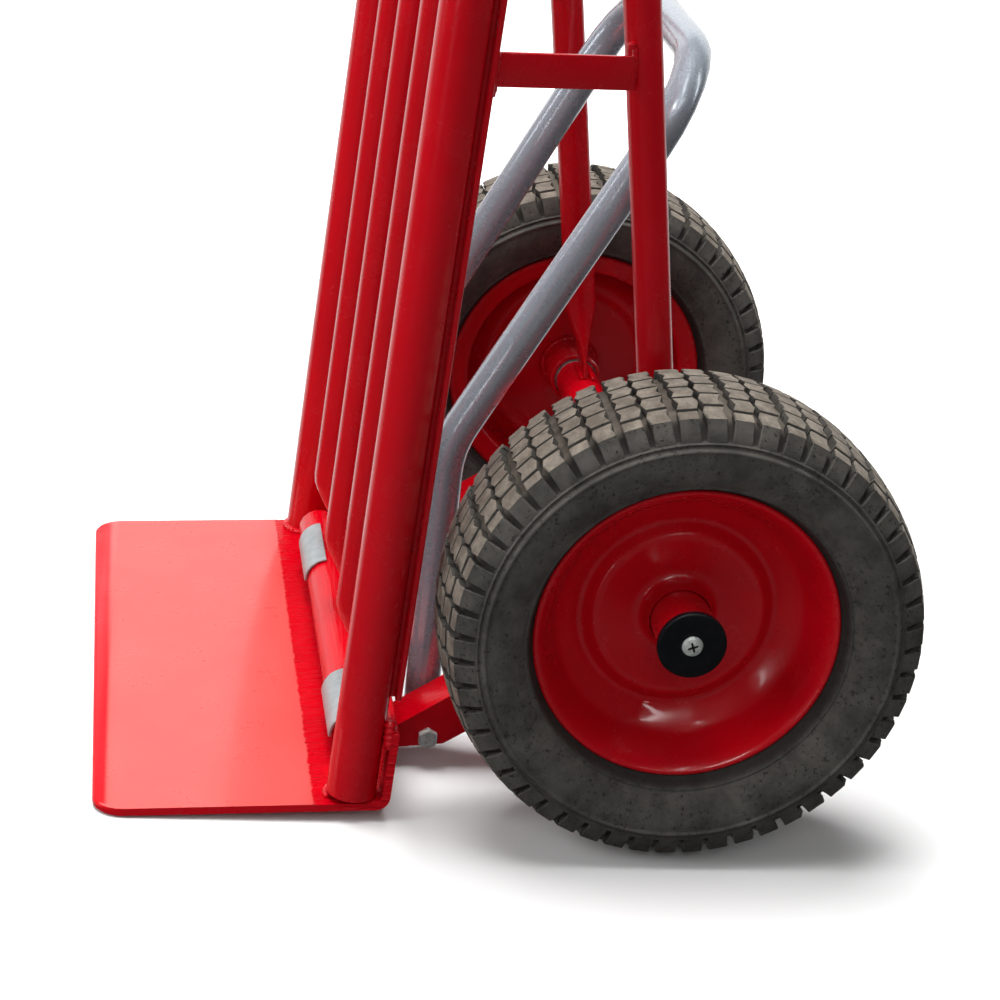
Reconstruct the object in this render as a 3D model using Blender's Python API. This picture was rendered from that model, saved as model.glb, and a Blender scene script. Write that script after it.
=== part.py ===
"""Convertible hand truck: a tubular frame on two wheels, with a support loop that swings out behind.

Metres, +Z up. The toe plate points to -Y. The origin is on the ground, midway between the plate's nose
and the backs of the tyres. The functions below draw with the axle above y = 0, and the last step moves
everything back by ORIGIN_SHIFT.
"Left" is the +X side, as seen by a person who stands behind the truck and faces the toe plate.
"""

from math import atan2, cos, hypot, pi, radians, sin, sqrt

import bmesh
import bpy
from mathutils import Vector

GAP = 0.0003
ORIGIN_SHIFT = 0.1111

# Wheels: 330 mm tyres on pressed rims, axle line at y = 0.
TYRE_RADIUS = 0.165
TYRE_WIDTH = 0.118
TREAD_WIDTH = 0.094
SHOULDER_RADIUS = 0.158
RIM_RADIUS = 0.1047
RIM_WIDTH = 0.0764
RIM_SHEET = 0.0022
WHEEL_X = 0.2574
HUB_HALF_LENGTH = 0.0475
HUB_RADIUS = 0.0208
HUB_BORE = 0.0177
AXLE_RADIUS = 0.010
AXLE_TUBE_RADIUS = 0.0168
BEARING_WIDTH = 0.012
CAP_RADIUS = 0.0235

# Frame plane: it passes through (y, z) = (FRAME_Y, 0) and leans back by LEAN for each metre up.
FRAME_Y = -0.2117
LEAN = 0.0631
TUBE_X = 0.241
TUBE_RADIUS = 0.0173
TUBE_WALL = 0.002
TUBE_BOTTOM = 0.0158
HANDLE_BEND_Z = 1.130
HANDLE_BEND_RADIUS = 0.115
HANDLE_ANGLE = radians(75)
HANDLE_LENGTH = 0.138
GRIP_RADIUS = 0.0218
GRIP_LENGTH = 0.118
COLLAR_RADIUS = 0.0262
INNER_RADIUS = 0.0133
PINCH_STEPS = 7
INNER_X = TUBE_X / 2
CROSS_Y = -0.2056
CROSS_Z = 0.0325
CROSS_RADIUS = 0.0160
CROSS_HALF_LENGTH = 0.191
UPPER_CROSS_Z = 1.045
MID_STRAP_Z = 0.700
STRIP_BOTTOM = 0.0885
STRAP_SHEET = 0.0020
STRAP_SPANS = (("left", 0.1160, 0.1900), ("right", -0.1580, -0.0830))

# Toe plate: its nose touches the ground and it rises to the heel, where it turns up into a flange.
PLATE_HALF_WIDTH = 0.255
PLATE_SHEET = 0.0055
NOSE_Y = -0.387
PLATE_RISE = 0.0456
HEEL_Y = -0.1850
FLANGE_TOP = 0.0670
FLANGE_LEAN = 0.0630
NOSE_CORNER = 0.020
HEEL_STRIP_Y = -0.2355
HEEL_STRIP_SINK = 0.0003

# Rear frame: struts lean forward from the axle tube to the upper cross tube.
STRUT_X = 0.180
STRUT_RADIUS = 0.0128
STRUT_Y = 0.0021
STRUT_LEAN = -0.1396
BRACKET_X = 0.1525
BRACKET_WIDTH = 0.037
BRACKET_HEIGHT = 0.034
BRACKET_FRONT = (-0.1795, 0.0297)
BRACKET_SLOPE = 0.655
BRACKET_LENGTH = 0.2155
BRACKET_TOE = (-0.1795, 0.0132)
BRACKET_KNEE = (-0.1410, 0.0168)
BRACE_FRONT_Z = 0.5242
BRACE_BACK_Z = 0.5179
BRACE_HEIGHT = 0.0224
BRACE_SHEET = 0.0042
PIVOT_Y = -0.1511
PIVOT_Z = 0.0242
BOLT_RADIUS = 0.004
HEX_HALF = 0.0065

# Support loop: one bent tube, seen from the side as a low upright part and a raked upper part.
# Its legs spread a little above the elbows.
LOOP_X = 0.1198
LOOP_TOP_X = 0.1310
LOOP_RADIUS = 0.0128
LOOP_ELBOW = (-0.1475, 0.2270)
LOOP_TOP = (0.0054, 0.5105)

RED = ((0.56, 0.004, 0.018, 1), 0.28, 0.0)
SILVER = ((0.46, 0.49, 0.53, 1), 0.42, 0.35)
GALVANISED = ((0.52, 0.56, 0.56, 1), 0.5, 0.5)
ZINC = ((0.62, 0.64, 0.62, 1), 0.35, 0.9)
STEEL = ((0.45, 0.45, 0.46, 1), 0.3, 0.9)
RUBBER = ((0.045, 0.043, 0.040, 1), 0.85, 0.0)
BLACK_PLASTIC = ((0.012, 0.012, 0.013, 1), 0.45, 0.0)


def clear_scene():
    for obj in list(bpy.data.objects):
        bpy.data.objects.remove(obj)


def material(name, look):
    """A Principled material, made once for each name."""
    found = bpy.data.materials.get(name)
    if found:
        return found
    made = bpy.data.materials.new(name)
    made.use_nodes = True
    shader = made.node_tree.nodes["Principled BSDF"]
    shader.inputs["Base Color"].default_value = look[0]
    shader.inputs["Roughness"].default_value = look[1]
    shader.inputs["Metallic"].default_value = look[2]
    return made


def add_object(name, mesh, slot, look, parent=None):
    obj = bpy.data.objects.new(name, mesh)
    bpy.context.scene.collection.objects.link(obj)
    mesh.materials.append(material(slot, look))
    if parent:
        obj.parent = parent
        obj.matrix_parent_inverse = parent.matrix_world.inverted()
    return obj


def joint_empty(name, place):
    """An empty on a joint's axis. The pieces that turn about it are its children."""
    empty = bpy.data.objects.new(name, None)
    empty.location = place
    bpy.context.scene.collection.objects.link(empty)
    bpy.context.view_layer.update()
    return empty


def loft(name, rings, closed=False):
    """A mesh through rings of equally many points. Its ends are capped, or joined when closed."""
    shape = bmesh.new()
    rows = [[shape.verts.new(point) for point in ring] for ring in rings]
    count = len(rings[0])
    pairs = list(zip(rows, rows[1:]))
    if closed:
        pairs.append((rows[-1], rows[0]))
    for low, high in pairs:
        for i in range(count):
            k = (i + 1) % count
            shape.faces.new((low[i], low[k], high[k], high[i]))
    if not closed:
        shape.faces.new(rows[0][::-1])
        shape.faces.new(rows[-1])
    bmesh.ops.recalc_face_normals(shape, faces=shape.faces)
    mesh = bpy.data.meshes.new(name)
    shape.to_mesh(mesh)
    shape.free()
    mesh.shade_smooth()
    mesh.set_sharp_from_angle(angle=radians(35))
    return mesh


def frames(points):
    """For each point of a path: its tangent, and two directions across it that never twist."""
    tangents = []
    for i, point in enumerate(points):
        before = points[max(i - 1, 0)]
        after = points[min(i + 1, len(points) - 1)]
        inward = (point - before).normalized() if i else Vector()
        outward = (after - point).normalized() if i + 1 < len(points) else Vector()
        tangents.append((inward + outward).normalized())
    across = Vector((1, 0, 0))
    if abs(tangents[0].x) > 0.9:
        across = Vector((0, 1, 0))
    found = []
    for tangent in tangents:
        across = (across - tangent * across.dot(tangent)).normalized()
        found.append((tangent, across, tangent.cross(across)))
    return found


def filleted(corners, radius, steps=5):
    """The path through these corners, with each inner corner rounded to the radius."""
    corners = [Vector(corner) for corner in corners]
    path = [corners[0]]
    for before, corner, after in zip(corners, corners[1:], corners[2:]):
        arm_in = (before - corner).normalized()
        arm_out = (after - corner).normalized()
        half = arm_in.angle(arm_out) / 2
        centre = corner + (arm_in + arm_out).normalized() * (radius / sin(half))
        reach = sqrt((centre - corner).length ** 2 - radius**2)
        first = (corner + arm_in * reach - centre).normalized()
        last = (corner + arm_out * reach - centre).normalized()
        for step in range(steps + 1):
            path.append(centre + first.slerp(last, step / steps) * radius)
    path.append(corners[-1])
    return path


def circle_ring(centre, across, up, radius, sides):
    turn = [2 * pi * i / sides for i in range(sides)]
    return [centre + across * (radius * cos(a)) + up * (radius * sin(a)) for a in turn]


def tube(name, path, radius, wall=None, sides=20):
    """A round bar along a path or, with a wall, a pipe open at both ends."""
    placed = list(zip(path, frames(path)))
    rings = [circle_ring(p, across, up, radius, sides) for p, (_, across, up) in placed]
    if wall is None:
        return loft(name, rings)
    bore = [circle_ring(p, a, u, radius - wall, sides) for p, (_, a, u) in placed]
    return loft(name, rings + bore[::-1], closed=True)


def blade_ring(centre, up, radius, flat, sides):
    """A tube's section while it is pressed flat: 0 is round and 1 is a blade, wide along X."""
    wide = radius * (1 + 0.42 * flat)
    thin = radius + (0.0024 - radius) * flat
    power = 1 - 0.45 * flat
    ring = []
    for i in range(sides):
        c = cos(2 * pi * i / sides)
        s = sin(2 * pi * i / sides)
        x = wide * abs(c) ** power * (1 if c > 0 else -1)
        y = thin * abs(s) ** power * (1 if s > 0 else -1)
        ring.append(centre + Vector((x, 0, 0)) + up * y)
    return ring


def pinched_tube(name, low, high, radius, low_pinch, high_pinch, foot_back=0.0, sides=16):
    """A straight bar whose ends are pressed flat over the given lengths (0 leaves an end round).

    foot_back moves the low blade towards the bar's back.
    """
    low = Vector(low)
    high = Vector(high)
    length = (high - low).length
    along = (high - low).normalized()
    up = along.cross(Vector((1, 0, 0))).normalized()
    if up.y < 0:
        up = -up
    blade = 0.012
    stations = []
    for end, pinch in ((0, low_pinch), (1, high_pinch)):
        marks = [(0.0, 0.0)]
        if pinch:
            marks = [(0.0, 1.0), (blade, 1.0)]
            for step in range(1, PINCH_STEPS + 1):
                ease = (1 + cos(pi * step / PINCH_STEPS)) / 2
                marks.append((blade + (pinch - blade) * step / PINCH_STEPS, ease))
        if end:
            marks = [(length - distance, flat) for distance, flat in marks[::-1]]
        stations += marks
    rings = []
    for distance, flat in stations:
        moved = foot_back * flat if distance < length / 2 else 0.0
        rings.append(blade_ring(low + along * distance + up * moved, up, radius, flat, sides))
    return loft(name, rings)


def lathe(name, profile, centre_x, side, centre_z=TYRE_RADIUS, steps=40):
    """Turns a closed (x, radius) outline about the wheel's axle. side is +1 or -1, outwards."""
    rings = []
    for step in range(steps):
        angle = 2 * pi * step / steps
        rings.append([
            Vector((centre_x + side * x, r * cos(angle), centre_z + r * sin(angle)))
            for x, r in profile
        ])
    return loft(name, rings, closed=True)


def drill(obj, start, end, radius):
    """Cuts a round hole along X through an object, from x = start to x = end at the pivot."""
    path = [Vector((start, PIVOT_Y, PIVOT_Z)), Vector((end, PIVOT_Y, PIVOT_Z))]
    cutter = bpy.data.objects.new(obj.name + "_drill", tube(obj.name + "_drill", path, radius, sides=16))
    bpy.context.scene.collection.objects.link(cutter)
    cutter.hide_render = True
    cutter.display_type = "WIRE"
    hole = obj.modifiers.new("pivot hole", "BOOLEAN")
    hole.operation = "DIFFERENCE"
    hole.object = cutter


def frame_point(x, z, back=0.0):
    """A point on the frame plane at height z, moved back from the plane by a distance."""
    scale = 1 / hypot(1, LEAN)
    return Vector((x, FRAME_Y + LEAN * z + back * scale, z - back * scale * LEAN))


def strut_point(x, z):
    return Vector((x, STRUT_Y + STRUT_LEAN * (z - TYRE_RADIUS), z))


def rounded_polygon(corners, radius, steps=3):
    """A closed outline in 2-D with every corner rounded."""
    count = len(corners)
    outline = []
    for i in range(count):
        three = [Vector((*corners[(i + k) % count], 0)) for k in (-1, 0, 1)]
        outline += [(p.x, p.y) for p in filleted(three, radius, steps)[1:-1]]
    return outline


# ---------------------------------------------------------------- toe plate and frame


def plate_profile(nose):
    """The plate's outline in (y, z), with its front edge moved back to y = nose."""
    slope = Vector((1, PLATE_RISE)).normalized()
    over = Vector((-slope.y, slope.x))
    rise = Vector((FLANGE_LEAN, 1)).normalized()
    inward = Vector((-rise.y, rise.x))
    base = Vector((NOSE_Y, 0))
    heel = base + slope * (HEEL_Y - NOSE_Y)
    bend = 0.010
    under = base + slope * (nose - NOSE_Y)
    top = heel + rise * (FLANGE_TOP - heel.y)
    turn = (slope.angle(rise)) / 2
    reach = bend / sin(pi / 2 - turn) * cos(pi / 2 - turn)
    centre = heel - slope * reach + over * bend
    start = atan2(-over.y, -over.x)
    end = atan2(-inward.y, -inward.x)
    outer = []
    inner = []
    for step in range(6):
        angle = start + (end - start) * step / 5
        ray = Vector((cos(angle), sin(angle)))
        outer.append(centre + ray * bend)
        inner.append(centre + ray * (bend - PLATE_SHEET))
    lip = 0.0012
    nose_points = [under + over * PLATE_SHEET + slope * lip, under + over * (PLATE_SHEET - lip)]
    nose_points += [under + over * lip, under + slope * lip]
    crest = [top + inward * lip, top - rise * lip]
    crest = [crest[1], crest[0], top + inward * (PLATE_SHEET - lip), top + inward * PLATE_SHEET - rise * lip]
    # A strip along the heel lies a little lower than the flat face that carries the load.
    strip = []
    for y, sink in ((HEEL_STRIP_Y + 0.0005, HEEL_STRIP_SINK), (HEEL_STRIP_Y, 0)):
        strip.append(base + slope * (y - NOSE_Y) + over * (PLATE_SHEET - sink))
    return nose_points + outer + crest + inner[::-1] + strip


def build_toe_plate():
    steps = 6
    stations = []
    for step in range(steps + 1):
        angle = pi / 2 * step / steps
        x = PLATE_HALF_WIDTH - NOSE_CORNER + NOSE_CORNER * sin(angle)
        stations.append((x, NOSE_Y + NOSE_CORNER * (1 - cos(angle))))
    stations = [(-x, y) for x, y in stations[::-1]] + stations
    rings = [[Vector((x, y, z)) for y, z in plate_profile(nose)] for x, nose in stations]
    add_object("toe_plate", loft("toe_plate", rings), "red_paint", RED)


def handle_path(side):
    """The outer tube's centre line: straight up the frame, then bent back into a handle."""
    lean = atan2(LEAN, 1)
    path = [frame_point(side * TUBE_X, TUBE_BOTTOM)]
    bend_start = frame_point(side * TUBE_X, HANDLE_BEND_Z)
    centre = bend_start + Vector((0, cos(lean), -sin(lean))) * HANDLE_BEND_RADIUS
    for step in range(7):
        angle = lean + (HANDLE_ANGLE - lean) * step / 6
        path.append(centre + Vector((0, -cos(angle), sin(angle))) * HANDLE_BEND_RADIUS)
    path.append(path[-1] + Vector((0, sin(HANDLE_ANGLE), cos(HANDLE_ANGLE))) * HANDLE_LENGTH)
    return path


def build_frame_tubes():
    for word, side in (("left", 1), ("right", -1)):
        name = "frame_tube_" + word
        mesh = tube(name, handle_path(side), TUBE_RADIUS, TUBE_WALL, sides=20)
        add_object(name, mesh, "red_paint", RED)


def build_hand_grips():
    """Rubber sleeves over the handle ends: a collar in front, and a closed, rounded end."""
    bore = TUBE_RADIUS + GAP
    outline = [(0, bore), (0, COLLAR_RADIUS), (0.006, COLLAR_RADIUS), (0.009, GRIP_RADIUS)]
    outline += [(GRIP_LENGTH, GRIP_RADIUS), (GRIP_LENGTH + 0.0045, GRIP_RADIUS - 0.001)]
    outline += [(GRIP_LENGTH + 0.0075, GRIP_RADIUS - 0.005)]
    for word, side in (("left", 1), ("right", -1)):
        path = handle_path(side)
        along = (path[-1] - path[-2]).normalized()
        across = Vector((1, 0, 0))
        up = along.cross(across)
        mouth = path[-1] - along * GRIP_LENGTH
        # The mesh runs from the bore's blind end out of the mouth and then over the outside.
        rings = [circle_ring(path[-1] + along * GAP, across, up, bore, 20)]
        rings += [circle_ring(mouth + along * distance, across, up, r, 20) for distance, r in outline]
        name = "hand_grip_" + word
        add_object(name, loft(name, rings), "grip_rubber", RUBBER)


def build_rear_strips():
    """A flat bar on a narrow web, along the back of each outer tube."""
    for word, side in (("left", 1), ("right", -1)):
        outline = [(-0.007, 0.0178), (0.007, 0.0178), (0.007, 0.0208), (0.0125, 0.0208)]
        outline += [(0.0135, 0.0218), (0.0135, 0.0242), (0.0125, 0.0252), (-0.0125, 0.0252)]
        outline += [(-0.0135, 0.0242), (-0.0135, 0.0218), (-0.0125, 0.0208), (-0.007, 0.0208)]
        centre = TUBE_X - 0.0105
        rings = []
        for z in (STRIP_BOTTOM, HANDLE_BEND_Z - 0.010):
            rings.append([frame_point(side * (centre + x), z, back) for x, back in outline])
        name = "rear_strip_" + word
        add_object(name, loft(name, rings), "red_paint", RED)


def build_inner_tubes():
    """Three bars between the cross tubes. Their feet are pressed flat towards the back."""
    foot = CROSS_Z + CROSS_RADIUS + 0.0015
    head = UPPER_CROSS_Z - CROSS_RADIUS - GAP
    for word, x in (("left", INNER_X), ("centre", 0), ("right", -INNER_X)):
        name = "inner_tube_" + word
        low = frame_point(x, foot)
        high = frame_point(x, head)
        mesh = pinched_tube(name, low, high, INNER_RADIUS, 0.058, 0.045, foot_back=0.0085)
        add_object(name, mesh, "red_paint", RED)


def domed_bar(name, centre, half_length, radius, slot, look):
    """A round bar along X with rounded ends."""
    across = Vector((0, 1, 0))
    up = Vector((0, 0, 1))
    stations = dome(half_length, radius)
    rings = [circle_ring(centre + Vector((x, 0, 0)), across, up, r, 20) for x, r in stations]
    add_object(name, loft(name, rings), slot, look)


def dome(half_length, radius):
    """(x, radius) stations of a round bar whose ends are rounded off."""
    left = []
    depth = 0.5 * radius
    for degrees in (12, 40, 65, 90):
        a = radians(degrees)
        left.append((-half_length + depth * (1 - sin(a)), radius * (1 - 0.55 * (1 - sin(a)) ** 1.5)))
    return left + [(-x, r) for x, r in left[::-1]]


def build_cross_tubes():
    low = Vector((0, CROSS_Y, CROSS_Z))
    domed_bar("lower_cross_tube", low, CROSS_HALF_LENGTH, CROSS_RADIUS, "red_paint", RED)
    half = TUBE_X - TUBE_RADIUS - GAP
    centre = frame_point(0, UPPER_CROSS_Z)
    path = [centre - Vector((half, 0, 0)), centre + Vector((half, 0, 0))]
    mesh = tube("upper_cross_tube", path, CROSS_RADIUS, TUBE_WALL)
    add_object("upper_cross_tube", mesh, "red_paint", RED)


def build_mid_cross_strap():
    """A flat bar across the backs of the inner tubes."""
    half = TUBE_X - 0.0185
    front = INNER_RADIUS + GAP
    rings = []
    for x in (-half, half):
        corners = ((-0.015, front), (0.015, front), (0.015, front + 0.005), (-0.015, front + 0.005))
        outline = rounded_polygon(corners, 0.0012, 2)
        rings.append([frame_point(x, MID_STRAP_Z + up, back) for up, back in outline])
    add_object("mid_cross_strap", loft("mid_cross_strap", rings), "red_paint", RED)


def build_saddle_straps():
    """Half-round sheet saddles over the front of the lower cross tube."""
    inner = CROSS_RADIUS + 0.0004
    outer = inner + STRAP_SHEET
    arc = range(96, 181, 12)
    leg = 0.0010
    section = [(CROSS_Y + outer * cos(radians(a)), CROSS_Z + outer * sin(radians(a))) for a in arc]
    section += [(CROSS_Y - outer, CROSS_Z - leg), (CROSS_Y - inner, CROSS_Z - leg)]
    section += [(CROSS_Y + inner * cos(radians(a)), CROSS_Z + inner * sin(radians(a))) for a in arc[::-1]]
    for word, low_x, high_x in STRAP_SPANS:
        rings = [[Vector((x, y, z)) for y, z in section] for x in (low_x, high_x)]
        name = "saddle_strap_" + word
        add_object(name, loft(name, rings), "galvanised", GALVANISED)


# ---------------------------------------------------------------- rear frame and axle


def build_struts():
    """Round bars from the axle tube to the upper cross tube, pressed flat at both ends."""
    for word, side in (("left", 1), ("right", -1)):
        name = "strut_" + word
        low = strut_point(side * STRUT_X, TYRE_RADIUS + AXLE_TUBE_RADIUS + 0.0008)
        high = strut_point(side * STRUT_X, UPPER_CROSS_Z + 0.014)
        mesh = pinched_tube(name, low, high, STRUT_RADIUS, 0.062, 0.055)
        add_object(name, mesh, "red_paint", RED)


def build_braces():
    """Flat bars from the back of each outer tube down to the strut behind it."""
    front = Vector((TUBE_X - 0.012, frame_point(0, BRACE_FRONT_Z, 0.0258).y))
    back = Vector((STRUT_X + 0.0118, strut_point(0, BRACE_BACK_Z).y - 0.0094))
    along = (back - front).normalized()
    across = Vector((-along.y, along.x)) * (BRACE_SHEET / 2)
    # Each end leans with the tube it meets.
    corners = [(front - across, LEAN, BRACE_FRONT_Z), (front + across, LEAN, BRACE_FRONT_Z)]
    corners += [(back + across, STRUT_LEAN, BRACE_BACK_Z), (back - across, STRUT_LEAN, BRACE_BACK_Z)]
    for word, side in (("left", 1), ("right", -1)):
        rings = []
        for up in (-BRACE_HEIGHT / 2, BRACE_HEIGHT / 2):
            rings.append([Vector((side * c.x, c.y + lean * up, z + up)) for c, lean, z in corners])
        name = "brace_" + word
        obj = add_object(name, loft(name, rings), "red_paint", RED)
        rounding = obj.modifiers.new("edges", "BEVEL")
        rounding.width = 0.0008
        rounding.segments = 2


def bracket_outline():
    """The bracket's outline in (y, z): its top runs up to the axle tube, and its toe is cut flat."""
    along = Vector((1, BRACKET_SLOPE)).normalized()
    down = Vector((along.y, -along.x))
    top_front = Vector(BRACKET_FRONT)
    top_back = top_front + along * BRACKET_LENGTH
    return [top_front, top_back, top_back + down * BRACKET_HEIGHT, Vector(BRACKET_KNEE), Vector(BRACKET_TOE)]


def build_axle_brackets():
    """Closed box sections from the flange up to the axle tube, drilled for the pivot bolt."""
    outline = bracket_outline()
    middle = sum(outline, Vector((0, 0))) / len(outline)
    half = BRACKET_WIDTH / 2
    edge = 0.003
    for word, side in (("left", 1), ("right", -1)):
        rings = []
        for x, shrink in ((-half, edge), (-half + edge, 0), (half - edge, 0), (half, edge)):
            ring = []
            for corner in outline:
                inset = corner - (corner - middle).normalized() * shrink
                # The front stays flat against the flange.
                y = corner.x if corner.x == BRACKET_FRONT[0] else inset.x
                ring.append(Vector((side * BRACKET_X + x, y, inset.y)))
            rings.append(ring)
        name = "axle_bracket_" + word
        obj = add_object(name, loft(name, rings), "red_paint", RED)
        drill(obj, side * (BRACKET_X - half - 0.01), side * (BRACKET_X + half + 0.01), BOLT_RADIUS + GAP)


def axle_bar(name, start, end, radius, slot, look, wall=None, sides=24):
    path = [Vector((start, 0, TYRE_RADIUS)), Vector((end, 0, TYRE_RADIUS))]
    return add_object(name, tube(name, path, radius, wall, sides), slot, look)


def build_axle():
    hub_inner = WHEEL_X - HUB_HALF_LENGTH
    axle_bar("axle_tube", -(hub_inner - 0.003), hub_inner - 0.003, AXLE_TUBE_RADIUS, "red_paint", RED,
             wall=AXLE_TUBE_RADIUS - AXLE_RADIUS - GAP)
    end = WHEEL_X + HUB_HALF_LENGTH
    axle_bar("axle_shaft", -end, end, AXLE_RADIUS, "bright_steel", STEEL)
    for word, side in (("left", 1), ("right", -1)):
        washer = [(0, AXLE_RADIUS + GAP), (0, 0.0165), (0.002, 0.0165), (0.002, AXLE_RADIUS + GAP)]
        name = "axle_washer_" + word
        start = hub_inner - 0.0026
        add_object(name, lathe(name, washer, side * start, side, steps=16), "zinc", ZINC)


def build_wheel_ends():
    """The plastic cap at each end of the axle and the cross-head screw that holds it."""
    face = WHEEL_X + HUB_HALF_LENGTH + 0.0006
    for word, side in (("left", 1), ("right", -1)):
        hole = 0.0033
        cap = [(0, hole), (0, CAP_RADIUS - 0.0008), (0.0008, CAP_RADIUS), (0.0046, CAP_RADIUS)]
        cap += [(0.0058, CAP_RADIUS - 0.0012), (0.0058, hole)]
        name = "hub_cap_" + word
        add_object(name, lathe(name, cap, side * face, side, steps=20), "black_plastic", BLACK_PLASTIC)
        head = face + 0.0058 + GAP
        stations = [(0, 0.0070), (0.0010, 0.0070), (0.0022, 0.0058), (0.0029, 0.0032)]
        rings = [screw_ring(side * (head + x), r) for x, r in stations]
        shank = [screw_ring(side * x, 0.0030) for x in (face - 0.0004, head)]
        name = "cap_screw_" + word
        add_object(name, loft(name, shank + rings), "zinc", ZINC)


def screw_ring(x, radius, sides=16):
    return circle_ring(Vector((x, 0, TYRE_RADIUS)), Vector((0, 1, 0)), Vector((0, 0, 1)), radius, sides)


# ---------------------------------------------------------------- wheels


def tyre_outline():
    """(x, radius) outline of the tyre: tread, sidewalls, beads and the space inside the rim."""
    half = TYRE_WIDTH / 2
    tread = TREAD_WIDTH / 2
    seat = RIM_WIDTH / 2 - 0.0026
    right = [(0.0, TYRE_RADIUS), (tread * 0.55, TYRE_RADIUS - 0.0012), (tread, SHOULDER_RADIUS)]
    right += [(half - 0.0025, 0.146), (half, 0.133), (half - 0.0035, 0.119), (seat + 0.0135, 0.1105)]
    right += [(seat + 0.0045, RIM_RADIUS + 0.0026), (seat - 0.0045, RIM_RADIUS + 0.0003)]
    right += [(seat - 0.0045, RIM_RADIUS - 0.0132)]
    left = [(-x, r) for x, r in right[::-1]]
    return right + left[:-1]


def rim_outline():
    """(x, radius) outline of the pressed rim: barrel, rolled flanges and the set-in centre disc."""
    half = RIM_WIDTH / 2
    sheet = RIM_SHEET
    seat_r = RIM_RADIUS - 0.0150
    front = [(half - 0.0010, RIM_RADIUS), (half, RIM_RADIUS - 0.0030), (half - 0.0006, RIM_RADIUS - 0.0065)]
    front += [(half - 0.0060, seat_r - sheet), (0.0120, seat_r - sheet - 0.0010), (0.0060, 0.0840)]
    front += [(-0.0030, 0.0690), (-0.0035, 0.0660), (0.0030, 0.0590), (0.0030, 0.0520)]
    front += [(-0.0050, 0.0300), (-0.0050, HUB_RADIUS + GAP)]
    back = [(-0.0050 - sheet, HUB_RADIUS + GAP), (-0.0050 - sheet, 0.0305), (0.0030 - sheet, 0.0525)]
    back += [(0.0024 - sheet, 0.0588), (-0.0038 - sheet, 0.0652), (-0.0058, 0.0705), (0.0020, 0.0848)]
    back += [(-half + 0.0060, seat_r - sheet), (-half + 0.0006, RIM_RADIUS - 0.0065)]
    back += [(-half, RIM_RADIUS - 0.0030), (-half + 0.0010, RIM_RADIUS)]
    back += [(-half + 0.0026, RIM_RADIUS - 0.0010)]
    back += [(-half + 0.0034, RIM_RADIUS - 0.0060), (-half + 0.0064, seat_r)]
    back += [(half - 0.0064, seat_r), (half - 0.0034, RIM_RADIUS - 0.0060)]
    back += [(half - 0.0026, RIM_RADIUS - 0.0010)]
    return front + back


def build_wheel(word, side):
    pivot = joint_empty("wheel_axis_" + word, (side * WHEEL_X, 0, TYRE_RADIUS))
    centre = side * WHEEL_X
    tyre = lathe("tyre_" + word, tyre_outline(), centre, side, steps=28)
    add_object("tyre_" + word, tyre, "tyre_rubber", RUBBER, pivot)
    rim = lathe("rim_" + word, rim_outline(), centre, side, steps=24)
    add_object("rim_" + word, rim, "red_paint", RED, pivot)
    reach = HUB_HALF_LENGTH
    hub = [(-reach, HUB_BORE), (-reach, HUB_RADIUS), (reach, HUB_RADIUS), (reach, HUB_BORE)]
    mesh = lathe("hub_tube_" + word, hub, centre, side, steps=24)
    add_object("hub_tube_" + word, mesh, "red_paint", RED, pivot)
    inset = 0.001
    for place, start in (("inner", -reach + inset), ("outer", reach - inset - BEARING_WIDTH)):
        name = "bearing_" + place + "_" + word
        mesh = lathe(name, bearing_outline(start), centre, side, steps=16)
        add_object(name, mesh, "bright_steel", STEEL, pivot)


def bearing_outline(start):
    """A ball bearing's two races with a sunk shield between them, as one ring."""
    low = AXLE_RADIUS + GAP
    high = HUB_BORE - GAP
    end = start + BEARING_WIDTH
    dip = 0.0008
    left = [(start, low), (start, low + 0.002), (start + dip, low + 0.002), (start + dip, high - 0.002)]
    left += [(start, high - 0.002), (start, high)]
    right = [(start + end - x, r) for x, r in left[::-1]]
    return left + right


# ---------------------------------------------------------------- support loop


def build_support_loop():
    """A tube bent into a long arch that hangs on two bolts and swings out behind the truck."""
    pivot = joint_empty("support_loop_axis", (0, PIVOT_Y, PIVOT_Z))
    foot = (PIVOT_Y - 0.0002, PIVOT_Z - 0.0165)
    corners = [(LOOP_X, *foot), (LOOP_X, *LOOP_ELBOW), (LOOP_TOP_X, *LOOP_TOP)]
    elbow = filleted(corners, 0.085, 4)
    mirrored = [Vector((-p.x, p.y, p.z)) for p in elbow[::-1]]
    top = filleted([elbow[-2], elbow[-1], mirrored[0], mirrored[1]], 0.062, 6)
    path = elbow[:-2] + top + mirrored[2:]
    mesh = tube("support_loop", path, LOOP_RADIUS, sides=18)
    loop = add_object("support_loop", mesh, "silver_paint", SILVER, pivot)
    drill(loop, -LOOP_X - 0.03, LOOP_X + 0.03, BOLT_RADIUS + GAP)


def round_ring(x, radius, sides=24):
    return circle_ring(Vector((x, PIVOT_Y, PIVOT_Z)), Vector((0, 1, 0)), Vector((0, 0, 1)), radius, sides)


def hex_ring(x, half_width, sides=24):
    """A hexagon, corner up, drawn with as many points as the round rings so that the two can be joined."""
    ring = []
    for i in range(sides):
        angle = 2 * pi * i / sides
        radius = half_width / cos((angle + pi / 6) % (pi / 3) - pi / 6)
        ring.append(Vector((x, PIVOT_Y + radius * cos(angle), PIVOT_Z + radius * sin(angle))))
    return ring


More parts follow.
